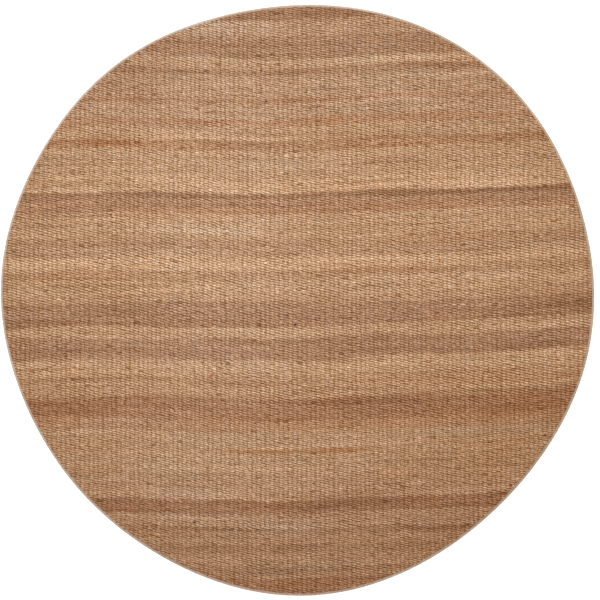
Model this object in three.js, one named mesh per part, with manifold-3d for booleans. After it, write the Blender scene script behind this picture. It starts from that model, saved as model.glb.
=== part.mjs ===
// Round flat-woven jute rug: the woven cloth, and the yarn edging sewn round its rim.
// Millimetres, +Z up. The rug lies on the floor at z = 0, with the middle of its footprint at
// the origin. The weft yarns run along X. The warp lies along Y, under the ribs of the weave.

import * as THREE from "three";
import { mergeVertices } from "three/addons/utils/BufferGeometryUtils.js";
import Module from "manifold-3d";

const wasm = await Module();
wasm.setup();

// Driving dimensions of the rug

const RUG_DIAMETER = 1500; // mean diameter, over the edging
const CLOTH_THICKNESS = 9; // floor to the crests of the ribs
const OUTLINE_STEPS = 160; // straight stretches round the rim

// The cut edge strays from a true circle: waves round the rim, their size in mm and the angle
// of their first crest in degrees of one wave, counter-clockwise from +X
const EDGE_STRAY = [
  { waves: 2, size: 3.2, phase: 73 },
  { waves: 3, size: 7.2, phase: 106 },
  { waves: 4, size: 2.8, phase: -26 },
  { waves: 5, size: 3.4, phase: -83 },
  { waves: 6, size: 1.0, phase: -43 },
  { waves: 7, size: 1.0, phase: 166 },
  { waves: 8, size: 0.9, phase: -46 },
];

// Ribs that the warp raises in the upper face, side by side along X

const RIB_PITCH = 11.3; // mean width of one rib
const RIB_PITCH_STRAY = 0.4; // how much wider or narrower it gets
const RIB_STRAY_LENGTH = 560; // from one wide stretch to the next
const RIB_HEIGHT = 1.5; // crest over the groove between two ribs
const RIB_CREST_SHARE = 0.4; // part of a rib's width that is its crest

// Yarn edging, wrapped over both faces of the pinched rim

const EDGING_REACH = 6; // how far it covers each face, in from the outline
const EDGING_YARN = 1.6; // how thick it lies on the rim
const EDGING_ROUND = 2.4; // rounding of its outer corners
const ROUND_STEPS = 3; // straight stretches of that rounding
const SEAM_GAP = 0.3; // between the cloth and the edging

// Finishes

const jute = new THREE.MeshStandardMaterial({ color: 0xaf8767, roughness: 0.92, metalness: 0 });
const edgingYarn = new THREE.MeshStandardMaterial({ color: 0xbea691, roughness: 0.85, metalness: 0 });

// The outline, as a share of the mean radius at each angle

function outlineShare(angle) {
  let radius = RUG_DIAMETER / 2;
  for (const { waves, size, phase } of EDGE_STRAY) {
    radius += size * Math.cos(waves * angle - THREE.MathUtils.degToRad(phase));
  }
  return radius / (RUG_DIAMETER / 2);
}

// Turns a round shape about the Y axis up onto the Z axis and gives it the rug's outline
function toRugOutline(geometry) {
  geometry.rotateX(Math.PI / 2);
  const place = geometry.attributes.position;
  for (let i = 0; i < place.count; i += 1) {
    const share = outlineShare(Math.atan2(place.getY(i), place.getX(i)));
    place.setXY(i, place.getX(i) * share, place.getY(i) * share);
  }
  return geometry;
}

// Solids and meshes

function toSolid(geometry) {
  const bare = geometry.clone();
  bare.deleteAttribute("normal");
  bare.deleteAttribute("uv");
  const merged = mergeVertices(bare);
  return new wasm.Manifold(
    new wasm.Mesh({
      numProp: 3,
      vertProperties: new Float32Array(merged.attributes.position.array),
      triVerts: new Uint32Array(merged.index.array),
    }),
  );
}

function toGeometry(solid) {
  const { vertProperties, triVerts, numProp } = solid.getMesh();
  const geometry = new THREE.BufferGeometry();
  const points = new THREE.InterleavedBuffer(vertProperties, numProp);
  geometry.setAttribute("position", new THREE.InterleavedBufferAttribute(points, 3, 0));
  geometry.setIndex(new THREE.BufferAttribute(triVerts, 1));
  geometry.computeVertexNormals();
  return geometry;
}

// A flat plate with the rug's outline, drawn in by an inset, from one height to another
function plate(inset, bottom, top) {
  const radius = RUG_DIAMETER / 2 - inset;
  const round = new THREE.CylinderGeometry(radius, radius, top - bottom, OUTLINE_STEPS);
  round.translate(0, (bottom + top) / 2, 0);
  return toSolid(toRugOutline(round));
}

// Woven field

function ribWidth(x) {
  return RIB_PITCH + RIB_PITCH_STRAY * Math.cos((2 * Math.PI * x) / RIB_STRAY_LENGTH);
}

// Section across the ribs, in X and Z: a flat underside and the ribs on top
function ribbedSection() {
  const groove = CLOTH_THICKNESS - RIB_HEIGHT;
  const reach = RUG_DIAMETER / 2 + RIB_PITCH;
  const section = new THREE.Shape();
  section.moveTo(-reach, 0);
  section.lineTo(-reach, groove);
  let left = -reach;
  while (left < reach) {
    const width = ribWidth(left);
    const shoulder = (width * (1 - RIB_CREST_SHARE)) / 2;
    section.lineTo(left + shoulder, CLOTH_THICKNESS);
    section.lineTo(left + width - shoulder, CLOTH_THICKNESS);
    section.lineTo(left + width, groove);
    left += width;
  }
  section.lineTo(left, 0);
  return section;
}

function wovenField() {
  const length = RUG_DIAMETER + 2 * RIB_PITCH;
  const ribbed = new THREE.ExtrudeGeometry(ribbedSection(), { depth: length, bevelEnabled: false });
  ribbed.translate(0, 0, -length / 2);
  ribbed.rotateX(Math.PI / 2);
  const open = plate(EDGING_REACH + SEAM_GAP, 0, CLOTH_THICKNESS);
  const cover = EDGING_YARN + SEAM_GAP;
  const pinchedRim = plate(cover, cover, CLOTH_THICKNESS - cover);
  const mesh = new THREE.Mesh(toGeometry(toSolid(ribbed).intersect(open).add(pinchedRim)), jute);
  mesh.name = "woven_field";
  return mesh;
}

// Edging

// Section of the edging at the rim: distance from the middle in x, height in y, open inwards
function edgingSection() {
  const outer = RUG_DIAMETER / 2;
  const inner = outer - EDGING_REACH;
  const rim = outer - EDGING_YARN;
  const points = [
    new THREE.Vector2(inner, CLOTH_THICKNESS),
    new THREE.Vector2(inner, CLOTH_THICKNESS - EDGING_YARN),
    new THREE.Vector2(rim, CLOTH_THICKNESS - EDGING_YARN),
    new THREE.Vector2(rim, EDGING_YARN),
    new THREE.Vector2(inner, EDGING_YARN),
    new THREE.Vector2(inner, 0),
  ];
  for (const lift of [EDGING_ROUND, CLOTH_THICKNESS - EDGING_ROUND]) {
    const start = lift === EDGING_ROUND ? -Math.PI / 2 : 0;
    for (let i = 0; i <= ROUND_STEPS; i += 1) {
      const turn = start + (i / ROUND_STEPS) * (Math.PI / 2);
      const x = outer - EDGING_ROUND + EDGING_ROUND * Math.cos(turn);
      points.push(new THREE.Vector2(x, lift + EDGING_ROUND * Math.sin(turn)));
    }
  }
  points.push(points[0].clone());
  return points;
}

function edging() {
  const ring = toRugOutline(new THREE.LatheGeometry(edgingSection(), OUTLINE_STEPS));
  const mesh = new THREE.Mesh(ring, edgingYarn);
  mesh.name = "edging";
  return mesh;
}

// The rug, moved so that the middle of its footprint is at the origin

const rug = new THREE.Group();
rug.name = "round_jute_rug";
const woven = new THREE.Group();
woven.add(wovenField(), edging());
const middle = new THREE.Box3().setFromObject(woven).getCenter(new THREE.Vector3());
woven.position.set(-middle.x, -middle.y, 0);
rug.add(woven);
rug.updateMatrixWorld(true);

export default rug;
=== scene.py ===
import math

import bpy
import numpy as np
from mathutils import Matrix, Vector, noise


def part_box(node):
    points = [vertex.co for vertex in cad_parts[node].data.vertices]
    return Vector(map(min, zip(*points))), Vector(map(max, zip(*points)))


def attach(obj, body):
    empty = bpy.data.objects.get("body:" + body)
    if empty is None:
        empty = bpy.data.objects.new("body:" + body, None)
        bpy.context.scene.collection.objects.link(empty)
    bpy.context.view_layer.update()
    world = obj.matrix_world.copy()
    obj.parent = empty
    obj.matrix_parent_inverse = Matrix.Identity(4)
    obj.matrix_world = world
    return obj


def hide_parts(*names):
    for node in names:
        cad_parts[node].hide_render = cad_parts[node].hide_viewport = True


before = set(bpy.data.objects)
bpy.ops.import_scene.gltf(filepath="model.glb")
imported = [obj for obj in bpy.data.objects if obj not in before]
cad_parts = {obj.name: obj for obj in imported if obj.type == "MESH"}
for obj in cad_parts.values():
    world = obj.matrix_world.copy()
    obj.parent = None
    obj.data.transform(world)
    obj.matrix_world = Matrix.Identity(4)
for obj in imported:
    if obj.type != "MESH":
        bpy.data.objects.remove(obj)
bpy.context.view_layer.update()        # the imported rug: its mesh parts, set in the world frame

# A round flat-woven jute rug, lying flat and seen from straight above.
# Thick weft yarns run along X. They float over one warp rib and dive under the next, so each
# rib shows a column of short floats, set half a step higher or lower than in the ribs beside it.
# Metres, +Z up, in the frame of the solids.

MM = 0.001
SEED = 7
BODY = "root"

# Sizes of the rug, as the solids have them

edging_low, edging_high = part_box("edging")
THICKNESS = edging_high.z - edging_low.z
RUG_RADIUS = 750 * MM

RIM_STEPS = 1440            # places round the rim that its extent is measured at

# How the cut edge strays from a circle: waves round the rim, size, and phase in degrees
EDGE_STRAY = [
    (2, 3.2 * MM, 73),
    (3, 7.2 * MM, 106),
    (4, 2.8 * MM, -26),
    (5, 3.4 * MM, -83),
    (6, 1.0 * MM, -43),
    (7, 1.0 * MM, 166),
    (8, 0.9 * MM, -46),
]

# Ribs of the warp, side by side along X
RIB_PITCH = 11.3 * MM
RIB_PITCH_STRAY = 0.4 * MM
RIB_STRAY_LENGTH = 560 * MM

# Rows of floats, one above the other along Y in each rib
ROW_PITCH = 5.7 * MM
ROW_LOOSER = 0.7 * MM       # how much further apart the rows lie across the middle
LOOSE_REACH = 190 * MM      # how far that looser stretch reaches to either side
SPARE_ROWS = 6              # beyond the rim at either end, because the weft bows

# How far the weft bows up or down along X, pinned at these places
BOW_PLACES = np.array([-750, -460, -80, 40, 230, 440, 640, 750]) * MM
BOW_RISES = np.array([-3, 5, -2.5, 0.5, 10, 16, 27, 35]) * MM

# Places where the weft sags or rises besides, in mm: X, Y, half length, half width, rise
SAGS = [
    (-130, 590, 260, 90, -4.5),
    (640, 295, 130, 70, -6.0),
    (270, -315, 400, 70, -5.5),
    (-480, -60, 200, 140, -2.5),
    (-450, -590, 130, 90, 4.5),
    (570, -270, 120, 50, -6.0),
]

# Waves in the weave, in mm: length along X, length along Y, how far floats move in X and in Y
WAVES = [
    (80, 60, 1.8, 2.6),
    (24, 30, 0.8, 0.9),
]
RIB_WANDER = (1.2 * MM, 0.8 * MM)   # how far the floats of one rib wander in X and in Y
RIB_WANDER_LENGTH = 45 * MM
RIBS_APART = 7.3            # places in the noise from one rib's wander to the next
SLUB = 0.08                 # how much thicker a yarn gets in places
SLUB_HEIGHT = 0.5           # how much of that it gains in height
SLUB_LENGTH = 30 * MM
SLUBS_APART = 0.8           # places in the noise from one yarn's slubs to the next

# Layers of the noise, one for each use of it. A use with several waves takes the next ones as well
STRIPE_LAYER = 1.5
EDGING_LAYER = 5.5
WAVE_X_LAYER = 10.5
WAVE_Y_LAYER = 20.5
STREAK_LIGHT_LAYER = 30.5
STREAK_RED_LAYER = 40.5
RIB_LAYER = 50.5
SLUB_LAYER = 52.5
LEAN_LAYER = 53.5

# One float of yarn
FLOAT_REACH = 0.70          # half its length, in ribs
FLOAT_WIDTH = 7.1 * MM      # wider than a row, so that it lies pressed against the next
FLOAT_RISE = 1.0 * MM       # its crest over its core
FLOAT_LEAN = -8.0           # degrees, down to the right
LEAN_WANDER = 4.0           # degrees that the lean drifts from place to place
LEAN_WANDER_LENGTH = 110 * MM
FLOAT_SIDES = 3             # with one corner up, as its crest
FLOAT_FULLNESS = 0.95       # how thick its ends are, of their size on a sphere

# How uneven single floats are
UNEVEN_X = 0.4 * MM
UNEVEN_Y = 0.35 * MM
UNEVEN_LEAN = 3.5           # degrees
UNEVEN_WIDTH = 0.04         # as a share, like the next two
UNEVEN_HEIGHT = 0.06
UNEVEN_LENGTH = 0.05
WIDTH_LIMITS = (0.75, 1.3)  # thinnest and thickest, of the usual float
HEIGHT_LIMITS = (0.8, 1.15)
UNEVEN_LIGHT = 0.03
UNEVEN_RED = 0.006

# Painted shade and light on a float by height: its sides darker and redder, as in the shade between
# floats, and its crest a little lighter. Height in rises, lighter by, redder by
PAINTED_FLOAT_SHADING = np.array([
    (-0.5, -0.06, 0.24),
    (0.0, -0.03, 0.12),
    (1.0, 0.02, -0.02),
])

# Painted shade on the weave along the edging, which stands over it: how much darker, and how far in
EDGE_PAINTED_SHADE = 0.06
EDGE_DARK_LENGTH = 20 * MM

# The weave is a little darker towards its sides too: how much, how far out, and from where
SIDE_DARKER = 0.11
SIDE_REACH = 950 * MM
LIGHTEST_X = -200 * MM

# Body of the cloth between the floats of its two faces
GROUND_LOW = 1.6 * MM
GROUND_HIGH = 7.3 * MM
GROUND_COLUMNS = 12
GROUND_ROWS = 480
GROUND_INSET = 2.2 * MM     # how far its rim lies inside the rug's
GROUND_SPAN = 0.998         # how much of the rug's length it covers, so that no row is a point
GROUND_DARKER = 0.52        # than the stripe that it lies in, for it is shaded by the floats
GROUND_REDDER = 0.20

# Edging, wrapped over the rim stitch by stitch
EDGING_REACH = 6.0 * MM
EDGING_YARN = 1.6 * MM
STITCHES = 1650
STITCH_FULLNESS = 0.62      # half a stitch's width, in stitches
UNEVEN_STITCH = 0.06        # how unevenly far stitches reach in, as a share
EDGING_MAP_ROWS = 8         # rows of the flat map that its stitches stand in
EDGING_MAP_INSET = 0.003    # how far in from the map's side a row starts
EDGING_MAP_SPAN = 0.99      # how much of the map's width it takes
EDGING_MAP_ENDS = (0.05, 0.95)      # how high in its row a stitch starts and ends

# Lightness of the edging round the rim: its yarn's own drift and unevenness, and painted light and
# shade
EDGING_DARKER = 0.02        # all round
EDGING_LIGHT_SWING = 0.185        # painted light and shade: lighter where light falls on the rim, and darker across from it
EDGING_MOST_LIT = 115       # degrees round the rim to the most lit place
EDGING_DRIFT = 0.08         # how much it drifts from stretch to stretch
EDGING_STRETCHES = 60
EDGING_UNEVEN = 0.05        # from stitch to stitch

# The rim of the weave, pressed flat under the edging
PINCH_LEAD = 1.5 * MM       # how far short of the edging the pressing starts
PINCH_LENGTH = 3.0 * MM     # how far out from there it is full
PINCH = 0.45                # how much thinner the rim gets
FLOAT_RIM = 2.4 * MM        # how near to the rug's outer edge a float may reach
LAST_FLOAT = 0.4            # how near its middle may lie, in reaches of the edging

# Stray fibres that stand out of the yarn
FIBRES = 2200
FIBRE_THICKNESS = 0.32 * MM
FIBRE_LENGTH = 26 * MM      # of the longest
FIBRE_SECTIONS = 5
FIBRE_ROOT = 8.0 * MM       # height of its two ends, among the floats
FIBRE_ARCH = 1.9 * MM       # how far the middle of the longest stands over them
FIBRE_LOTS = ["straw", "straw", "wheat", "sand", "honey", "umber"]
FIBRE_GAIN = 1.35           # single fibres over a stripe of the same yarn
FIBRE_MAP_ROWS = 47         # fibres side by side in their flat map, each in its own square
FIBRE_MAP_HALVES = (0.4, 0.3)       # half its length and half its width there, in squares
FIBRE_INSET = 25 * MM       # none stands nearer to the rim
FIBRE_TURN = 30             # degrees that they stray from the floats' lean
FIBRE_SIZES = (0.35, 1)     # the shortest and the longest, of the longest
FIBRE_CURL = 0.25           # how far their ends bend aside, in halves of their length
FIBRE_TAPER = 0.7           # how much thinner their ends are
FIBRE_LIGHT = 0.12          # how much they differ in lightness
FIBRE_RED = 0.03            # and in redness

# Odd threads and dark or light slivers caught in the weave, which take the place of the first single
# fibres: X, Y, length and width in mm, heading in degrees, yarn, lighter by, redder by
ODD_THREADS = [
    (-224, -203, 21, 2.6, 52, "rose", -0.30, 0.0),
    (-217, -201, 18, 2.2, 48, "rose", -0.22, 0.0),
    (173, 277, 8, 3.6, 10, "russet", -0.42, 0.16),
    (214, 277, 9, 3.2, -10, "tan", -0.20, 0.14),
    (-459, 379, 9, 3.2, -12, "straw", -0.28, 0.12),
    (-339, 379, 9, 3.6, 20, "russet", -0.42, 0.14),
    (-118, 150, 8, 3.4, -8, "copper", -0.36, 0.14),
    (287, 71, 8, 4.2, 30, "umber", -0.76, 0.05),
    (-8, -73, 8, 5.0, 40, "umber", -0.86, 0.05),
    (-82, 494, 8, 3.8, 5, "umber", -0.74, 0.05),
    (-11, 494, 8, 3.8, -5, "umber", -0.74, 0.05),
    (539, -481, 8, 3.8, -15, "umber", -0.72, 0.0),
    (430, -581, 8, 3.8, 15, "umber", -0.76, 0.05),
    (-265, -575, 9, 4.2, 0, "umber", -0.80, 0.05),
    (626, -354, 8, 4.0, 20, "umber", -0.76, 0.05),
    (-95, 573, 9, 3.6, -8, "umber", -0.66, 0.0),
    (51, 481, 15, 3.0, 18, "umber", -0.55, 0.05),
    (29, 477, 11, 3.0, -28, "umber", -0.55, 0.05),
    (-84, 84, 9, 3.4, -8, "straw", 0.35, -0.02),
    (127, -181, 9, 3.4, -8, "straw", 0.22, -0.02),
]
ODD_ROOT = 8.8 * MM         # height of their ends
ODD_ARCH = 0.7 * MM         # how far their middles stand over their ends

# Groups of rows that make one mesh
UPPER_GROUPS = 5
LOWER_GROUPS = 2


def linear(red, green, blue):
    """Linear colour of an sRGB one given from 0 to 255."""
    values = np.array([red, green, blue]) / 255
    return np.where(values <= 0.04045, values / 12.92, ((values + 0.055) / 1.055) ** 2.4)


# Lots of jute yarn, by the shade that a stripe of each shows, and one dyed thread
YARN = {
    "straw": linear(191, 151, 117),
    "wheat": linear(184, 145, 112),
    "sand": linear(180, 141, 110),
    "tan": linear(177, 136, 103),
    "sage": linear(173, 135, 103),
    "oat": linear(171, 132, 101),
    "honey": linear(175, 130, 98),
    "copper": linear(169, 125, 92),
    "fawn": linear(169, 128, 98),
    "mushroom": linear(165, 124, 95),
    "bark": linear(158, 116, 86),
    "drab": linear(166, 127, 97),
    "clay": linear(161, 121, 90),
    "chestnut": linear(154, 114, 84),
    "russet": linear(161, 117, 86),
    "umber": linear(149, 106, 77),
    "rose": linear(167, 105, 86),
}
EDGING_SHADE = linear(184, 161, 141)

# The yarn's own colour over its stripe's, in red, green and blue. A stripe shows its gaps as well,
# which are darker and redder than the yarn
YARN_GAIN = np.array([0.999, 1.121, 1.243])
GROUND_GAIN = 0.95          # the same for the body of the cloth

# Lighter yarn is also paler: powers of its lightness in red, green and blue
PALER = np.array([1.0, 1.33, 1.75])
HIGHLIGHT_AND_GRAIN_PALER = np.array([1.03, 1.25, 1.80])    # the same inside one yarn, for its grain and its painted highlight
DARKEST = 0.1               # least lightness that a shade is brought to
REDDER = np.array([1.0, -0.2, -1.7])         # what redder yarn gains in red, green and blue

# Stripes in the order they were woven, from the top of the rug down: yarn and width in mm
STRIPE_TOP = 739.5 * MM
STRIPES = [
    ("bark", 36), ("sand", 43), ("fawn", 54), ("wheat", 25), ("fawn", 17), ("sand", 60),
    ("honey", 12), ("sand", 42), ("honey", 18), ("wheat", 36), ("copper", 25), ("wheat", 67),
    ("straw", 42), ("bark", 17), ("fawn", 18), ("honey", 19), ("wheat", 64), ("tan", 23), ("sand", 23),
    ("straw", 37), ("tan", 18), ("wheat", 44), ("tan", 19), ("mushroom", 48), ("bark", 10),
    ("wheat", 30), ("mushroom", 54), ("wheat", 43), ("tan", 54), ("russet", 53), ("copper", 31),
    ("sage", 41), ("tan", 10), ("sage", 51), ("oat", 74), ("umber", 37), ("drab", 34),
    ("chestnut", 14), ("clay", 30), ("chestnut", 14), ("clay", 42), ("chestnut", 25), ("umber", 60),
]
STRIPE_EDGE = 4 * MM        # how softly one stripe turns into the next
STRIPE_STRAY = 7 * MM       # how far that edge wanders
STRIPE_STRAY_LENGTH = 250 * MM
STRIPE_STRAY_WIDTH = 20 * MM

# Stretches of weft that came out lighter or darker, redder or greyer: X, Y, half length and half
# width in mm, lighter by, redder by. The broad ones come first, then the narrow ones from the top down
TINTED_STRETCHES = [
    (-440, 560, 120, 90, -0.05, 0.00),
    (250, 560, 130, 60, 0.04, -0.02),
    (0, 340, 140, 30, 0.05, -0.01),
    (-740, 300, 110, 60, -0.10, 0.00),
    (-560, 237, 180, 24, 0.04, 0.00),
    (-190, 100, 190, 700, 0.06, -0.01),
    (-760, 0, 90, 300, -0.04, 0.00),
    (-20, 0, 150, 130, -0.03, 0.00),
    (450, -350, 250, 25, 0.00, -0.03),
    (500, -420, 70, 30, -0.06, 0.02),
    (480, -420, 280, 280, -0.05, 0.02),
    (-600, -470, 100, 60, -0.06, 0.00),
    (190, -480, 190, 35, -0.04, 0.00),
    (-135, 688, 110, 10, 0.14, -0.02),
    (-300, 685, 140, 20, 0.08, -0.02),
    (-85, 619, 165, 4, -0.14, 0.00),
    (221, 593, 140, 7, 0.10, 0.00),
    (100, 581, 260, 8, -0.07, 0.00),
    (348, 575, 90, 6, -0.14, 0.03),
    (5, 497, 130, 3, -0.14, 0.00),
    (-466, 497, 110, 4, -0.10, 0.02),
    (61, 448, 60, 5, -0.02, 0.05),
    (-365, 443, 240, 4, -0.08, 0.03),
    (0, 438, 120, 9, -0.08, 0.01),
    (-560, 397, 140, 9, -0.12, 0.01),
    (-480, 383, 70, 8, -0.16, 0.07),
    (272, 377, 190, 6, -0.04, 0.04),
    (430, 250, 230, 6, -0.16, -0.02),
    (-560, 214, 130, 9, -0.08, -0.03),
    (-240, 166, 150, 6, 0.18, -0.03),
    (-40, 107, 45, 4, -0.12, 0.00),
    (-60, 104, 70, 5, -0.10, 0.02),
    (270, 92, 130, 8, 0.07, 0.00),
    (184, 59, 130, 6, -0.10, 0.03),
    (590, 59, 80, 7, -0.10, 0.00),
    (705, -48, 60, 14, -0.12, 0.03),
    (-212, -64, 120, 4, -0.10, 0.04),
    (-600, -138, 110, 14, -0.08, -0.01),
    (590, -138, 90, 14, -0.10, -0.02),
    (560, -220, 120, 22, 0.08, 0.01),
    (-290, -255, 130, 10, -0.07, 0.00),
    (130, -268, 180, 5, -0.20, 0.00),
    (-580, -290, 110, 20, -0.12, 0.02),
    (-570, -296, 130, 9, -0.09, -0.01),
    (570, -298, 110, 22, -0.12, 0.03),
    (-60, -309, 120, 5, -0.16, 0.03),
    (-490, -318, 110, 6, 0.18, -0.03),
    (450, -387, 190, 5, -0.08, 0.00),
    (107, -393, 80, 6, -0.26, 0.11),
    (-97, -394, 110, 6, -0.26, 0.10),
    (-560, -395, 120, 7, -0.07, 0.02),
    (-100, -438, 300, 10, 0.11, 0.02),
    (-518, -443, 50, 9, 0.02, 0.05),
    (232, -463, 60, 6, 0.00, 0.05),
    (-288, -507, 100, 14, 0.10, -0.04),
    (130, -535, 180, 10, -0.16, 0.00),
    (-30, -588, 70, 10, 0.12, -0.05),
    (-327, -596, 110, 9, -0.14, 0.03),
    (360, -608, 60, 10, -0.16, 0.01),
    (17, -634, 80, 8, -0.12, -0.01),
    (270, -640, 140, 16, -0.07, 0.00),
    (-290, -652, 130, 9, -0.07, 0.00),
    (0, -693, 120, 10, -0.06, -0.05),
    (20, -735, 90, 8, -0.10, 0.05),
]

# Streaks along the yarns: length along X in mm, yarns side by side, lighter by, redder by
STREAKS = [
    (450, 3.6, 0.07, 0.015),
    (450, 1.7, 0.11, 0.02),
    (190, 1.7, 0.10, 0.02),
    (60, 1.7, 0.05, 0.016),
    (20, 1.7, 0.04, 0.012),
]
STREAK_PEAK = 2.3           # how strong the few strong places of a streak are

# Odd bits of fibre spun into the yarn: share of all floats, lighter by, redder by
FLECKS = [
    (0.008, -0.32, 0.02),
    (0.004, -0.26, 0.08),
    (0.006, 0.20, -0.02),
    (0.004, -0.10, -0.05),
]


def outline_radius(angle):
    """Distance from the weave's centre to the rug's outer edge."""
    radius = RUG_RADIUS + 0 * angle
    for waves, size, phase in EDGE_STRAY:
        radius = radius + size * np.cos(waves * angle - math.radians(phase))
    return radius


def weave_centre():
    """The weave's centre, in the frame whose origin is the middle of the rug's footprint."""
    angle = np.linspace(0, 2 * math.pi, RIM_STEPS, endpoint=False)
    x = outline_radius(angle) * np.cos(angle)
    y = outline_radius(angle) * np.sin(angle)
    return np.array([-(x.min() + x.max()) / 2, -(y.min() + y.max()) / 2])


CENTRE = weave_centre()


# Working by hand in Blender

MAP_MARGIN = 0.005          # free edge of a map from above, as a share of the map


def deselect_all():
    if bpy.context.mode != "OBJECT":
        bpy.ops.object.mode_set(mode="OBJECT")
    bpy.ops.object.select_all(action="DESELECT")


def work_on(piece):
    """Makes a piece the only selected one."""
    deselect_all()
    bpy.context.view_layer.objects.active = piece
    piece.select_set(True)
    return piece


def added(name):
    """The primitive that was just added, under its own name."""
    piece = bpy.context.active_object
    piece.name = name
    piece.data.name = name
    return piece


def seat(piece):
    """Brings a piece's turn, size and place into its mesh."""
    work_on(piece)
    bpy.ops.object.transform_apply(location=True, rotation=True, scale=True)


def apply_modifiers(piece):
    work_on(piece)
    for modifier in list(piece.modifiers):
        bpy.ops.object.modifier_apply(modifier=modifier.name)


def copy_of(piece, name):
    copy = piece.copy()
    copy.data = piece.data.copy()
    copy.name = name
    copy.data.name = name
    bpy.context.collection.objects.link(copy)
    return copy


def drop(piece):
    mesh = piece.data
    bpy.data.objects.remove(piece)
    bpy.data.meshes.remove(mesh)


def repeat(piece, count, step):
    """Copies of a piece in a row, a step apart, joined to it."""
    array = piece.modifiers.new("array", "ARRAY")
    array.count = count
    array.use_relative_offset = False
    array.use_constant_offset = True
    array.constant_offset_displace = step


def points_of(piece):
    points = np.empty(len(piece.data.vertices) * 3)
    piece.data.vertices.foreach_get("co", points)
    return points.reshape(-1, 3)


def move_points(piece, points):
    piece.data.vertices.foreach_set("co", points.reshape(-1))
    piece.data.update()


def select_points(piece, chosen):
    """Selects vertices by a row of true and false, and goes into edit mode."""
    work_on(piece)
    bpy.ops.object.mode_set(mode="EDIT")
    bpy.ops.mesh.select_mode(type="VERT")
    bpy.ops.mesh.select_all(action="DESELECT")
    bpy.ops.object.mode_set(mode="OBJECT")
    piece.data.vertices.foreach_set("select", chosen)
    bpy.ops.object.mode_set(mode="EDIT")


def paint_points(piece, colours):
    """Gives every vertex the colour of its yarn, which the finishes read."""
    layer = piece.data.color_attributes.new(name="yarn", type="FLOAT_COLOR", domain="POINT")
    values = np.ones((len(colours), 4))
    values[:, :3] = colours
    layer.data.foreach_set("color", values.reshape(-1))


def mark_strand(piece, places):
    """Gives every vertex its place along and across its own yarn, and the number of its float."""
    layer = piece.data.attributes.new(name="strand", type="FLOAT_VECTOR", domain="POINT")
    layer.data.foreach_set("vector", places.reshape(-1))


def lay_map(piece, places):
    """A flat map of the piece, from one pair of numbers from 0 to 1 for each vertex."""
    corners = np.empty(len(piece.data.loops), dtype=int)
    piece.data.loops.foreach_get("vertex_index", corners)
    layer = piece.data.uv_layers.new(name="OFBake")
    layer.data.foreach_set("uv", places[corners].reshape(-1))


def map_from_above(piece):
    points = points_of(piece)[:, :2]
    low = points.min(axis=0)
    size = points.max(axis=0) - low
    lay_map(piece, MAP_MARGIN + (1 - 2 * MAP_MARGIN) * (points - low) / size)


def extruded_bar(name, sides, high, wide, places):
    """A bar extruded section by section along places, each section turned to face along X and Z."""
    deselect_all()
    bpy.ops.mesh.primitive_circle_add(
        vertices=sides,
        radius=1.0,
        fill_type="NGON",
        location=places[0],
        rotation=(0, math.pi / 2, 0),
    )
    bar = added(name)
    bar.scale = (high, wide, 1)
    seat(bar)
    bpy.ops.object.mode_set(mode="EDIT")
    bpy.ops.mesh.select_all(action="SELECT")
    heading = 0.0
    for i in range(1, len(places)):
        step = places[i] - places[i - 1]
        bpy.ops.mesh.extrude_region_move(TRANSFORM_OT_translate={"value": step})
        after = places[min(i + 1, len(places) - 1)] - places[i]
        mean = step.normalized() + after.normalized()
        turned = math.atan2(-mean.z, mean.x)
        bpy.ops.transform.rotate(
            value=-(turned - heading),
            orient_axis="Y",
            center_override=places[i],
        )
        heading = turned
    bpy.ops.object.mode_set(mode="OBJECT")
    return bar


# Shaders written as sums

BAND_SPACING = 0.314        # of a wave texture at a scale of 1


class Wire:
    """A socket's value in a material, which can be reckoned with like a number."""

    def __init__(self, finish, socket):
        self.finish = finish
        self.socket = socket

    def math(self, operation, first, second):
        values = {0: first, 1: second}
        return self.finish.add("ShaderNodeMath", {"operation": operation}, values)

    def __add__(self, other):
        return self.math("ADD", self, other)

    def __radd__(self, other):
        return self.math("ADD", other, self)

    def __sub__(self, other):
        return self.math("SUBTRACT", self, other)

    def __rsub__(self, other):
        return self.math("SUBTRACT", other, self)

    def __mul__(self, other):
        return self.math("MULTIPLY", self, other)

    def __rmul__(self, other):
        return self.math("MULTIPLY", other, self)

    def __truediv__(self, other):
        return self.math("DIVIDE", self, other)

    def __rtruediv__(self, other):
        return self.math("DIVIDE", other, self)

    def __pow__(self, other):
        return self.math("POWER", self, other)

    def __rpow__(self, other):
        return self.math("POWER", other, self)


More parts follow.
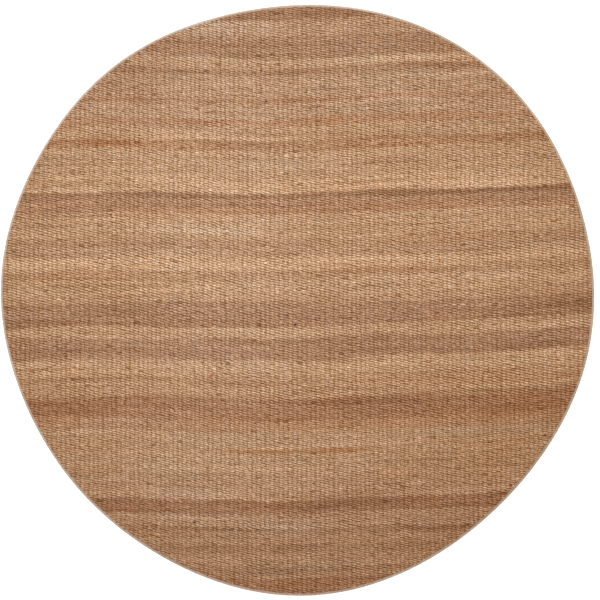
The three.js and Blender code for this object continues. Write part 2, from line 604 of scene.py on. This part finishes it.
class Finish:
    """A material with one principled shader, and one method that adds any other node."""

    def __init__(self, name, constants):
        self.material = bpy.data.materials.new(name)
        self.material.use_nodes = True
        self.tree = self.material.node_tree
        self.shader = self.tree.nodes["Principled BSDF"]
        self.shader.distribution = "GGX"
        for socket, value in constants.items():
            self.shader.inputs[socket].default_value = value

    def add(self, kind, settings=None, values=None, output=0):
        """Adds a node of a type with its settings, then the values or wires of its sockets."""
        node = self.tree.nodes.new(kind)
        for name, setting in (settings or {}).items():
            setattr(node, name, setting)
        for socket, value in (values or {}).items():
            self.feed(node.inputs[socket], value)
        return Wire(self, node.outputs[output])

    def feed(self, socket, value):
        if isinstance(value, Wire):
            self.tree.links.new(value.socket, socket)
        else:
            socket.default_value = value

    def show(self, **values):
        """Feeds the shader's own sockets."""
        for socket, value in values.items():
            self.feed(self.shader.inputs[socket.replace("_", " ").title()], value)

    def here(self):
        """Object coordinates in metres."""
        return self.add("ShaderNodeTexCoord", output="Object")

    def strand(self):
        """Metres along and across the own yarn, and a number from 0 to 1 that each float has."""
        settings = {"attribute_type": "GEOMETRY", "attribute_name": "strand"}
        return self.add("ShaderNodeAttribute", settings, output="Vector")

    def yarn_shade(self):
        return self.add("ShaderNodeVertexColor", {"layer_name": "yarn"})

    def part(self, place, axis):
        """One of the three numbers of a place."""
        return self.add("ShaderNodeSeparateXYZ", None, {"Vector": place}, output=axis)

    def turned(self, place, stretch=(1, 1, 1), turn=0.0):
        """Places stretched, and turned about Z by degrees."""
        values = {"Vector": place, "Scale": stretch, "Rotation": (0, 0, math.radians(turn))}
        return self.add("ShaderNodeMapping", None, values)

    def cloud(self, place, size, detail=2.0, rough=0.5):
        """Noise around 0.5, with features of a size in metres."""
        values = {"Vector": place, "Scale": 1 / size, "Detail": detail, "Roughness": rough}
        return self.add("ShaderNodeTexNoise", None, values)

    def bands(self, place, spacing, waver):
        """Soft bands across X from 0 to 1, a spacing in metres apart."""
        settings = {"wave_type": "BANDS", "bands_direction": "X"}
        values = {"Vector": place, "Scale": BAND_SPACING / spacing, "Distortion": waver, "Detail": 2.0}
        return self.add("ShaderNodeTexWave", settings, values, output="Fac")

    def tinted(self, colour, light):
        """A colour made lighter and paler, or darker and deeper, by a number around 1."""
        powers = {i: light ** HIGHLIGHT_AND_GRAIN_PALER[i] for i in range(3)}
        tint = self.add("ShaderNodeCombineColor", None, powers)
        settings = {"data_type": "RGBA", "blend_type": "MULTIPLY"}
        first_colour, second_colour, mixed_colour = 6, 7, 2
        values = {"Factor": 1.0, first_colour: colour, second_colour: tint}
        return self.add("ShaderNodeMix", settings, values, output=mixed_colour)

    def mottled(self, colour, tone, contrast):
        """A colour made lighter in places and darker in others by noise around 0.5."""
        return self.tinted(colour, 1 + contrast * (tone - 0.5))

    def relief(self, height, depth):
        """A normal bent by a height from 0 to 1 that stands for a depth in metres."""
        values = {"Height": height, "Distance": depth, "Strength": 1.0}
        return self.add("ShaderNodeBump", None, values)


# Finishes

# Grain of the yarn: fibres, tufts and plies, how light each makes it and how far each stands out
GRAIN_WIDTH = 0.42 * MM     # of one fibre's streak on a yarn
GRAIN_STRETCH = (0.14, 1, 1)        # its width over its length
GRAIN_SLANT = -24           # degrees from the yarn
GRAIN_CONTRAST = 1.0
GRAIN_RELIEF = 0.9
TUFT_SIZE = 4.0 * MM
TUFT_CONTRAST = 1.46
TUFT_RELIEF = 0.3
PLY_WIDTH = 4.6 * MM
PLY_SLANT = -38
PLY_CONTRAST = 0.16
PLY_RELIEF = 0.5
YARN_RELIEF = 0.5 * MM      # depth of a relief of 1
YARN_SHEEN = 0.2            # how much smoother its fibres are

# Painted highlight on a float's crest
HIGHLIGHT_LENGTH = 2.1 * MM      # half of it
HIGHLIGHT_WIDTH = 1.2 * MM
HIGHLIGHT_LEAST = 0.6            # how strong the faintest float's painted highlight is
HIGHLIGHT_VARIES = 0.8           # how much stronger the strongest one is
HIGHLIGHT_LIGHTER = 0.37
OFF_HIGHLIGHT = 0.90               # lightness away from the painted highlight


def jute_yarn():
    """Dry jute yarn: its lot's shade, fibres wound round it at a slant, and two twisted plies."""
    finish = Finish("jute_yarn", {"Roughness": 0.9, "Specular IOR Level": 0.12})
    strand = finish.strand()
    slanted = finish.turned(strand, stretch=GRAIN_STRETCH, turn=GRAIN_SLANT)
    fibres = finish.cloud(slanted, GRAIN_WIDTH, detail=3.0, rough=0.65)
    tufts = finish.cloud(strand, TUFT_SIZE)
    plies = finish.bands(finish.turned(strand, turn=PLY_SLANT), PLY_WIDTH, waver=1.2)
    # Painted highlight: a small lighter spot on the middle of each float's crest, stronger on some
    # floats than others
    off_middle = finish.part(strand, "X") / HIGHLIGHT_LENGTH
    off_crest = finish.part(strand, "Y") / HIGHLIGHT_WIDTH
    highlight_strength = HIGHLIGHT_LEAST + HIGHLIGHT_VARIES * finish.part(strand, "Z")
    painted_light = highlight_strength / (1 + off_middle * off_middle + off_crest * off_crest)
    light = OFF_HIGHLIGHT + HIGHLIGHT_LIGHTER * painted_light
    light += GRAIN_CONTRAST * (fibres - 0.5)
    light += TUFT_CONTRAST * (tufts - 0.5)
    light += PLY_CONTRAST * (plies - 0.5)
    height = PLY_RELIEF * plies + GRAIN_RELIEF * fibres + TUFT_RELIEF * tufts
    finish.show(
        base_color=finish.tinted(finish.yarn_shade(), light),
        roughness=1 - YARN_SHEEN * fibres,
        normal=finish.relief(height, YARN_RELIEF),
    )
    return finish.material


def jute_ground():
    """The shaded yarn between the floats."""
    finish = Finish("jute_ground", {"Roughness": 0.95, "Specular IOR Level": 0.06})
    drawn_out = finish.turned(finish.here(), stretch=(0.25, 1, 1))
    fibres = finish.cloud(drawn_out, size=0.7 * MM, detail=3.0, rough=0.6)
    finish.show(
        base_color=finish.mottled(finish.yarn_shade(), fibres, contrast=0.8),
        normal=finish.relief(fibres, depth=0.5 * MM),
    )
    return finish.material


def single_fibre():
    """A fibre by itself, with a little more sheen than the yarn."""
    finish = Finish("single_fibre", {"Roughness": 0.6, "Specular IOR Level": 0.2})
    tone = finish.cloud(finish.here(), size=3.0 * MM)
    finish.show(base_color=finish.mottled(finish.yarn_shade(), tone, contrast=0.5))
    return finish.material


def edging_thread():
    """Fine smooth yarn, wrapped close."""
    finish = Finish("edging_thread", {"Roughness": 0.75, "Specular IOR Level": 0.3})
    fibres = finish.cloud(finish.here(), size=0.6 * MM, rough=0.6)
    finish.show(
        base_color=finish.mottled(finish.yarn_shade(), fibres, contrast=0.5),
        normal=finish.relief(fibres, depth=0.2 * MM),
    )
    return finish.material


def plain_paper():
    constants = {
        "Base Color": (0.93, 0.93, 0.93, 1.0),
        "Roughness": 0.9,
        "Emission Color": (1.0, 1.0, 1.0, 1.0),
        "Emission Strength": 0.35,
    }
    return Finish("plain_paper", constants).material


# The weave

def rib_places():
    """Middle and width of every rib across the rug, in the weave's own X."""
    reach = RUG_RADIUS + RIB_PITCH
    middles = []
    widths = []
    left = -reach
    while left < reach:
        width = RIB_PITCH + RIB_PITCH_STRAY * math.cos(2 * math.pi * left / RIB_STRAY_LENGTH)
        middles.append(left + width / 2)
        widths.append(width)
        left += width
    return np.array(middles), np.array(widths)


def row_places():
    """Height of every row of floats in the weave's own Y, and its distance to the next."""
    reach = RUG_RADIUS + SPARE_ROWS * ROW_PITCH
    heights = [-reach]
    while heights[-1] < reach:
        looser = ROW_LOOSER * math.exp(-((heights[-1] / LOOSE_REACH) ** 2))
        heights.append(heights[-1] + ROW_PITCH + looser)
    return np.array(heights[:-1]), np.diff(heights)


def drift(x, y, layer):
    """Smooth noise from -1 to 1 over places in its own units. Each use of it has its own layer."""
    places = zip(np.ravel(x), np.ravel(y))
    values = np.array([noise.noise(Vector((a, b, layer))) for a, b in places])
    return values.reshape(np.shape(x))


def seldom(wave):
    """Smooth noise drawn out, so that it is faint in most places and strong in a few."""
    return STREAK_PEAK * wave * abs(wave)


def stray(x, y):
    """How far the weave has moved in X and in Y at each place of the straight weave."""
    across = 0 * x
    rise = np.interp(x, BOW_PLACES, BOW_RISES)
    for at_x, at_y, long, wide, height in SAGS:
        off_x = (x / MM - at_x) / long
        off_y = (y / MM - at_y) / wide
        rise = rise + height * MM * np.exp(-(off_x ** 2) - off_y ** 2)
    for i, (long, wide, move_x, move_y) in enumerate(WAVES):
        place = (x / (long * MM), y / (wide * MM))
        across = across + move_x * MM * drift(*place, WAVE_X_LAYER + i)
        rise = rise + move_y * MM * drift(*place, WAVE_Y_LAYER + i)
    return across, rise


def stripe_shade(height):
    """Colour of the yarn lot at each height of the weave, with soft edges between stripes."""
    top = STRIPE_TOP
    places = []
    shades = []
    for yarn, width in STRIPES:
        bottom = top - width * MM
        places += [top - STRIPE_EDGE / 2, bottom + STRIPE_EDGE / 2]
        shades += [YARN[yarn], YARN[yarn]]
        top = bottom
    places = np.array(places)[::-1]
    shades = np.array(shades)[::-1]
    return np.stack([np.interp(height, places, shades[:, i]) for i in range(3)], axis=1)


def toned(shade, light, red):
    """Colours made lighter or darker, and redder or greyer, by numbers around 0."""
    lightness = np.maximum(1 + np.asarray(light), DARKEST)[..., None]
    warmth = 1 + np.asarray(red)[..., None] * REDDER
    return shade * lightness ** PALER * warmth


def yarn_shades(x, y, yarn):
    """Colour of the weft at each place, from its stripe, its stretch and its own streaks."""
    wander = drift(x / STRIPE_STRAY_LENGTH, y / STRIPE_STRAY_WIDTH, STRIPE_LAYER)
    shade = stripe_shade(y + STRIPE_STRAY * wander)
    light = -SIDE_DARKER * ((x - LIGHTEST_X) / SIDE_REACH) ** 2
    red = 0 * x
    for at_x, at_y, long, wide, lighter, redder in TINTED_STRETCHES:
        off_x = (x / MM - at_x) / long
        off_y = (y / MM - at_y) / wide
        here = np.exp(-(off_x ** 4) - off_y ** 2)
        light = light + lighter * here
        red = red + redder * here
    for i, (long, yarns, lighter, redder) in enumerate(STREAKS):
        place = (x / (long * MM), yarn / yarns)
        light = light + lighter * seldom(drift(*place, STREAK_LIGHT_LAYER + i))
        red = red + redder * seldom(drift(*place, STREAK_RED_LAYER + i))
    return toned(shade, light, red)


def flecked(shades, random):
    """The odd float of another colour, and a little unevenness from float to float."""
    pick = random.random(len(shades))
    light = UNEVEN_LIGHT * random.standard_normal(len(shades))
    red = UNEVEN_RED * random.standard_normal(len(shades))
    for share, lighter, redder in FLECKS:
        odd = (pick >= 0) & (pick < share)
        light = light + lighter * odd
        red = red + redder * odd
        pick = pick - share
    return toned(shades, light, red)


def rice_grain(name):
    """A full float, standing on its end and not yet at its size."""
    deselect_all()
    bpy.ops.mesh.primitive_uv_sphere_add(segments=FLOAT_SIDES, ring_count=5, radius=1.0)
    grain = added(name)
    height = abs(points_of(grain)[:, 2])
    near_ends = (height > 0.5) & (height < 0.9)
    select_points(grain, near_ends)
    full = FLOAT_FULLNESS
    bpy.ops.transform.resize(value=(full, full, 1), center_override=(0, 0, 0))
    bpy.ops.object.mode_set(mode="OBJECT")
    return grain


def plain_spindle(name):
    """A float of the face that lies on the floor, with two points and one corner ring."""
    deselect_all()
    bpy.ops.mesh.primitive_cone_add(
        vertices=FLOAT_SIDES,
        radius1=1.0,
        depth=1.0,
        end_fill_type="NOTHING",
        location=(0, 0, 0.5),
    )
    spindle = added(name)
    seat(spindle)
    mirror = spindle.modifiers.new("mirror", "MIRROR")
    mirror.use_axis = (False, False, True)
    apply_modifiers(spindle)
    return spindle


def lay_down(grain):
    """Turns a standing float onto X with its crest up, at its size."""
    grain.rotation_euler = (0, 0, math.pi / 2 / FLOAT_SIDES)
    seat(grain)
    widest = math.sin(2 * math.pi / FLOAT_SIDES)
    grain.scale = (FLOAT_RISE, FLOAT_WIDTH / 2 / widest, FLOAT_REACH * RIB_PITCH)
    grain.rotation_euler = (0, -math.pi / 2, 0)
    seat(grain)
    bpy.ops.object.shade_smooth()
    return grain


def tuck_under_edging(points):
    """Draws points near the rim in and flattens them, so that they end under the edging."""
    off = points[..., :2] - CENTRE
    radius = np.hypot(off[..., 0], off[..., 1])
    rim = outline_radius(np.arctan2(off[..., 1], off[..., 0]))
    under = np.clip((radius - (rim - EDGING_REACH - PINCH_LEAD)) / PINCH_LENGTH, 0, 1)
    middle = THICKNESS / 2
    points[..., 2] = middle + (points[..., 2] - middle) * (1 - PINCH * under)
    share = np.minimum(1, (rim - FLOAT_RIM) / np.maximum(radius, MM))
    points[..., :2] = CENTRE + off * share[..., None]
    return points


class Floats:
    """The floats of a group of rows over all ribs: their places, their lean and their sizes.

    side is 1 on the upper face and -1 below.
    """

    def __init__(self, rows, side, random):
        middles, widths = rib_places()
        heights, pitches = row_places()
        pitches = pitches[rows, None]
        shape = (len(pitches), len(middles))
        rib = np.broadcast_to(np.arange(len(middles)), shape)
        odd = rib % 2 == (0 if side > 0 else 1)
        flat_x = np.broadcast_to(middles, shape)
        flat_y = heights[rows, None] + 0.5 * odd * pitches
        yarn = 2 * np.arange(rows.start, rows.stop)[:, None] + odd
        self.side = side
        self.shape = shape
        # Where each float lies in the straight weave, and the number of its yarn
        self.straight = (flat_x.ravel(), flat_y.ravel(), yarn.ravel())

        across, rise = stray(flat_x, flat_y)
        wander_x, wander_y = [
            wander * drift(RIBS_APART * rib, flat_y / RIB_WANDER_LENGTH, RIB_LAYER + i)
            for i, wander in enumerate(RIB_WANDER)
        ]
        self.x = flat_x + across + wander_x + UNEVEN_X * random.standard_normal(shape)
        self.y = flat_y + rise + wander_y + UNEVEN_Y * random.standard_normal(shape)

        step = 3 * MM
        slope = (stray(flat_x + step, flat_y)[1] - stray(flat_x - step, flat_y)[1]) / (2 * step)
        turned = drift(flat_x / LEAN_WANDER_LENGTH, flat_y / LEAN_WANDER_LENGTH, LEAN_LAYER)
        lean = FLOAT_LEAN * side + LEAN_WANDER * turned + UNEVEN_LEAN * random.standard_normal(shape)
        self.lean = np.radians(lean) + np.arctan(slope)

        slub = SLUB * drift(flat_x / SLUB_LENGTH, SLUBS_APART * yarn, SLUB_LAYER)
        wide = pitches / ROW_PITCH * (1 + slub + UNEVEN_WIDTH * random.standard_normal(shape))
        high = 1 + SLUB_HEIGHT * slub + UNEVEN_HEIGHT * random.standard_normal(shape)
        self.wide = np.clip(wide, *WIDTH_LIMITS)
        self.high = np.clip(high, *HEIGHT_LIMITS)
        self.long = widths / RIB_PITCH * (1 + UNEVEN_LENGTH * random.standard_normal(shape))

    def along_and_over(self, own):
        """How far the points of one float lie along and across the yarn, once each has its size."""
        along = own[:, 0] * self.long[..., None]
        over = own[:, 1] * self.side * self.wide[..., None]
        return along, over

    def points(self, own):
        """The points of every float, from the points of one."""
        along, over = self.along_and_over(own)
        cos = np.cos(self.lean)[..., None]
        sin = np.sin(self.lean)[..., None]
        core = THICKNESS / 2 + self.side * (THICKNESS / 2 - FLOAT_RISE)
        points = np.empty(along.shape + (3,))
        points[..., 0] = CENTRE[0] + self.x[..., None] + along * cos - over * sin
        points[..., 1] = CENTRE[1] + self.y[..., None] + along * sin + over * cos
        points[..., 2] = np.maximum(core + own[:, 2] * self.side * self.high[..., None], 0)
        return points

    def strands(self, own, random):
        """The place of every point in its own yarn, and a number from 0 to 1 for each float."""
        along, over = self.along_and_over(own)
        number = np.broadcast_to(random.random(self.shape)[..., None], along.shape)
        return np.stack([along, over, number], axis=-1)

    def within_rim(self):
        """How far the middle of each float lies inside the rug's outer edge."""
        return outline_radius(np.arctan2(self.y, self.x)) - np.hypot(self.x, self.y)

    def shades(self, own, random):
        """The colour of every point, from its stripe to painted shade along the edging and down its
        float's sides, and painted light on its crest.
        """
        # Painted shade along the edging
        inset = np.maximum(self.within_rim().ravel() - EDGING_REACH, 0)
        edge_shade = EDGE_PAINTED_SHADE * np.exp(-inset / EDGE_DARK_LENGTH)
        yarns = YARN_GAIN * toned(flecked(yarn_shades(*self.straight), random), -edge_shade, 0)
        # Painted shade down each float's sides and painted light on its crest, by height
        levels, lighter, redder = PAINTED_FLOAT_SHADING.T
        lift = own[:, 2] / FLOAT_RISE
        painted_light = toned(1, np.interp(lift, levels, lighter), np.interp(lift, levels, redder))
        return (yarns[:, None] * painted_light).reshape(-1, 3)


def lay_floats(name, grain, rows, side, random):
    """One mesh of all the floats of a group of rows, from one float."""
    floats = Floats(rows, side, random)
    group = copy_of(grain, name)
    repeat(group, floats.shape[1], (RIB_PITCH, 0, 0))
    repeat(group, floats.shape[0], (0, ROW_PITCH, 0))
    apply_modifiers(group)
    own = points_of(grain)
    mark_strand(group, floats.strands(own, random))
    paint_points(group, floats.shades(own, random))
    move_points(group, tuck_under_edging(floats.points(own)))
    outside = floats.within_rim().ravel() <= LAST_FLOAT * EDGING_REACH
    select_points(group, np.repeat(outside, len(own)))
    bpy.ops.mesh.delete(type="VERT")
    bpy.ops.object.mode_set(mode="OBJECT")
    map_from_above(group)
    return group


def laid_weft(face, side, groups, random):
    """All floats of one face, in groups of rows."""
    grain = lay_down(rice_grain("float") if side > 0 else plain_spindle("float"))
    count = len(row_places()[0])
    cuts = np.linspace(0, count, groups + 1).astype(int)
    pieces = []
    for i in range(groups):
        rows = slice(cuts[i], cuts[i + 1])
        piece = lay_floats(f"weft_{face}_{i + 1}", grain, rows, side, random)
        piece.data.materials.append(jute)
        pieces.append(piece)
    drop(grain)
    return pieces


def ground_cloth():
    """The body of the cloth between the floats of its two faces, in rows along the weft."""
    deselect_all()
    bpy.ops.mesh.primitive_grid_add(
        x_subdivisions=GROUND_COLUMNS,
        y_subdivisions=GROUND_ROWS,
        size=2.0,
        location=(0, 0, GROUND_LOW),
    )
    cloth = added("ground_cloth")
    seat(cloth)
    bpy.ops.object.mode_set(mode="EDIT")
    bpy.ops.mesh.select_all(action="SELECT")
    bpy.ops.mesh.extrude_region_move(
        TRANSFORM_OT_translate={"value": (0, 0, GROUND_HIGH - GROUND_LOW)},
    )
    bpy.ops.mesh.select_all(action="SELECT")
    bpy.ops.mesh.normals_make_consistent(inside=False)
    bpy.ops.object.mode_set(mode="OBJECT")

    points = points_of(cloth)
    row = GROUND_SPAN * points[:, 1]
    column = points[:, 0] * np.sqrt(1 - row ** 2)
    radius = outline_radius(np.arctan2(row, column)) - GROUND_INSET
    x = column * radius
    y = row * radius
    points[:, 0] = x + CENTRE[0]
    points[:, 1] = y + CENTRE[1]
    move_points(cloth, points)
    shades = yarn_shades(x, y - stray(x, y)[1], y / (0.5 * ROW_PITCH))
    paint_points(cloth, GROUND_GAIN * toned(shades, -GROUND_DARKER, GROUND_REDDER))
    cloth.data.materials.append(jute_ground())
    map_from_above(cloth)
    return cloth


def stray_fibres(random):
    """Single fibres that stand out of the upper yarns, each a low arch with its ends in the weave."""
    half = FIBRE_LENGTH / 2
    places = [Vector((half * at, 0, 0)) for at in np.linspace(-1, 1, FIBRE_SECTIONS)]
    thin = FIBRE_THICKNESS / 2
    fibres = extruded_bar("stray_fibres", 3, thin, thin, places)
    own = points_of(fibres)
    repeat(fibres, FIBRES, (0, FIBRE_THICKNESS, 0))
    apply_modifiers(fibres)

    place = (RUG_RADIUS - FIBRE_INSET) * np.sqrt(random.random((FIBRES, 1)))
    angle = 2 * math.pi * random.random((FIBRES, 1))
    x = place * np.cos(angle)
    y = place * np.sin(angle)
    heading = FLOAT_LEAN + FIBRE_TURN * random.standard_normal((FIBRES, 1))
    size = random.uniform(*FIBRE_SIZES, (FIBRES, 1))
    curl = FIBRE_CURL * random.standard_normal((FIBRES, 1))
    root = FIBRE_ROOT + 0 * size
    arch = FIBRE_ARCH * size
    wide = np.ones((FIBRES, 1))
    lots = np.array([YARN[name] for name in FIBRE_LOTS])[random.integers(len(FIBRE_LOTS), size=FIBRES)]
    light = FIBRE_LIGHT * random.standard_normal(FIBRES)
    red = FIBRE_RED * random.standard_normal(FIBRES)
    for i, (at_x, at_y, length, width, turn, yarn, lighter, redder) in enumerate(ODD_THREADS):
        x[i] = CENTRE[0] + at_x * MM
        y[i] = CENTRE[1] + at_y * MM
        heading[i] = turn
        size[i] = length * MM / FIBRE_LENGTH
        curl[i] = 0
        root[i] = ODD_ROOT
        arch[i] = ODD_ARCH
        wide[i] = width * MM / np.ptp(own[:, 1])
        lots[i] = YARN[yarn]
        light[i] = lighter
        red[i] = redder

    at = own[:, 0] / half
    taper = 1 - FIBRE_TAPER * at ** 4
    along = own[:, 0] * size
    over = own[:, 1] * taper * wide + curl * size * half * at ** 2
    cos = np.cos(np.radians(heading))
    sin = np.sin(np.radians(heading))
    points = np.empty((FIBRES, len(own), 3))
    points[..., 0] = x + along * cos - over * sin
    points[..., 1] = y + along * sin + over * cos
    points[..., 2] = root + own[:, 2] * taper + arch * (1 - at ** 2)
    move_points(fibres, points)

    shades = toned(lots, light, red)
    paint_points(fibres, np.repeat(FIBRE_GAIN * shades, len(own), axis=0))
    square = np.stack([np.arange(FIBRES) % FIBRE_MAP_ROWS, np.arange(FIBRES) // FIBRE_MAP_ROWS], axis=1)
    spread = 0.5 + FIBRE_MAP_HALVES * np.stack([at, own[:, 1] / thin], axis=1)
    lay_map(fibres, ((square[:, None] + spread) / FIBRE_MAP_ROWS).reshape(-1, 2))
    fibres.data.materials.append(single_fibre())
    return fibres


# Edging

# One stitch round the rim, from its upper inner end to its lower one: how far in from the outer edge
# and how high, both in mm, and how far it has slanted along the rim, in stitches
STITCH_PATH = [
    (6.6, 7.0, -0.55),
    (5.2, 8.1, -0.40),
    (2.6, 8.2, -0.15),
    (1.1, 7.1, -0.05),
    (0.9, 1.9, 0.05),
    (2.6, 0.8, 0.15),
    (5.2, 0.9, 0.40),
    (6.6, 2.0, 0.55),
]


def one_stitch():
    """A yarn loop over the rim at +X, extruded along its path section by section."""
    pitch = 2 * math.pi * RUG_RADIUS / STITCHES
    places = [
        Vector((RUG_RADIUS - inset * MM, slant * pitch, height * MM))
        for inset, height, slant in STITCH_PATH
    ]
    return extruded_bar("edging_stitches", 4, EDGING_YARN / 2, STITCH_FULLNESS * pitch, places)


def edging(random):
    """Stitches all the way round the rim."""
    ring = one_stitch()
    count = len(ring.data.vertices)
    deselect_all()
    bpy.ops.object.empty_add(rotation=(0, 0, 2 * math.pi / STITCHES))
    turn = bpy.context.active_object
    array = ring.modifiers.new("array", "ARRAY")
    array.count = STITCHES
    array.use_relative_offset = False
    array.use_object_offset = True
    array.offset_object = turn
    apply_modifiers(ring)
    bpy.data.objects.remove(turn)
    points = points_of(ring).reshape(STITCHES, count, 3)
    angle = np.arctan2(points[..., 1], points[..., 0])
    radius = np.hypot(points[..., 0], points[..., 1])
    reach = 1 + UNEVEN_STITCH * random.standard_normal(STITCHES)[:, None]
    radius = outline_radius(angle) - (RUG_RADIUS - radius) * reach
    points[..., 0] = CENTRE[0] + radius * np.cos(angle)
    points[..., 1] = CENTRE[1] + radius * np.sin(angle)
    points[..., 2] = np.clip(points[..., 2], 0, THICKNESS)
    move_points(ring, points)
    work_on(ring)
    bpy.ops.object.shade_smooth()

    around = np.arange(STITCHES) / STITCHES
    # Painted light and shade: the edging lighter on the side of the rim that faces the light
    painted_light_swing = np.cos(2 * math.pi * around - math.radians(EDGING_MOST_LIT))
    light = EDGING_UNEVEN * random.standard_normal(STITCHES)
    light = light + EDGING_DRIFT * drift(around * EDGING_STRETCHES, 0 * around, EDGING_LAYER)
    light = light - EDGING_DARKER + EDGING_LIGHT_SWING * painted_light_swing
    shades = toned(EDGING_SHADE, light, 0)
    paint_points(ring, np.repeat(shades, count, axis=0))
    band = (np.arange(STITCHES) * EDGING_MAP_ROWS) // STITCHES
    places = np.empty((STITCHES, count, 2))
    places[..., 0] = EDGING_MAP_INSET + EDGING_MAP_SPAN * (around * EDGING_MAP_ROWS - band)[:, None]
    places[..., 1] = (band[:, None] + np.linspace(*EDGING_MAP_ENDS, count)) / EDGING_MAP_ROWS
    lay_map(ring, places.reshape(-1, 2))
    ring.data.materials.append(edging_thread())
    return ring


# Studio

# Camera, right over the middle of the photograph's frame
FRAME_WIDTH = 1528 * MM     # of the floor that the photograph shows
FRAME_MIDDLE = (6.45 * MM, 0.5 * MM)
LENS = 85.0                 # mm, like the sensor
SENSOR = 36.0

# Light and floor
SKY_STRENGTH = 1.05
SUN_STRENGTH = 1.15
SUN_TILT = (-32, -24)       # degrees about X and Y
SUN_SPREAD = 18             # degrees across, for soft shadows
FLOOR_SIZE = 40
FLOOR_DROP = 0.2 * MM       # clear of the rug's underside


def stand_camera():
    """Looks straight down."""
    height = FRAME_WIDTH * LENS / SENSOR
    bpy.ops.object.camera_add(location=(*FRAME_MIDDLE, height))
    camera = bpy.context.active_object
    camera.data.lens = LENS
    camera.data.sensor_width = SENSOR
    camera.data.clip_end = 100
    bpy.context.scene.camera = camera


def light_studio():
    world = bpy.data.worlds.new("studio")
    bpy.context.scene.world = world
    world.use_nodes = True
    sky = world.node_tree.nodes["Background"]
    sky.inputs["Color"].default_value = (1, 1, 1, 1)
    sky.inputs["Strength"].default_value = SKY_STRENGTH
    about_x, about_y = np.radians(SUN_TILT)
    bpy.ops.object.light_add(type="SUN", rotation=(about_x, about_y, 0))
    sun = bpy.context.active_object
    sun.data.energy = SUN_STRENGTH
    sun.data.angle = math.radians(SUN_SPREAD)


def lay_floor():
    bpy.ops.mesh.primitive_plane_add(size=FLOOR_SIZE, location=(0, 0, -FLOOR_DROP))
    floor = added("studio_floor")
    floor.data.materials.append(plain_paper())


random = np.random.default_rng(SEED)
deselect_all()
stand_camera()
light_studio()
lay_floor()

jute = jute_yarn()
cloth = ground_cloth()
upper = laid_weft("upper", 1, UPPER_GROUPS, random)
lower = laid_weft("lower", -1, LOWER_GROUPS, random)
ring = edging(random)
fibres = stray_fibres(random)

for piece in (cloth, *upper, *lower, fibres):
    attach(piece, BODY)
    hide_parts("woven_field")
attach(ring, BODY)
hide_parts("edging")

bpy.context.scene.view_settings.view_transform = "Standard"
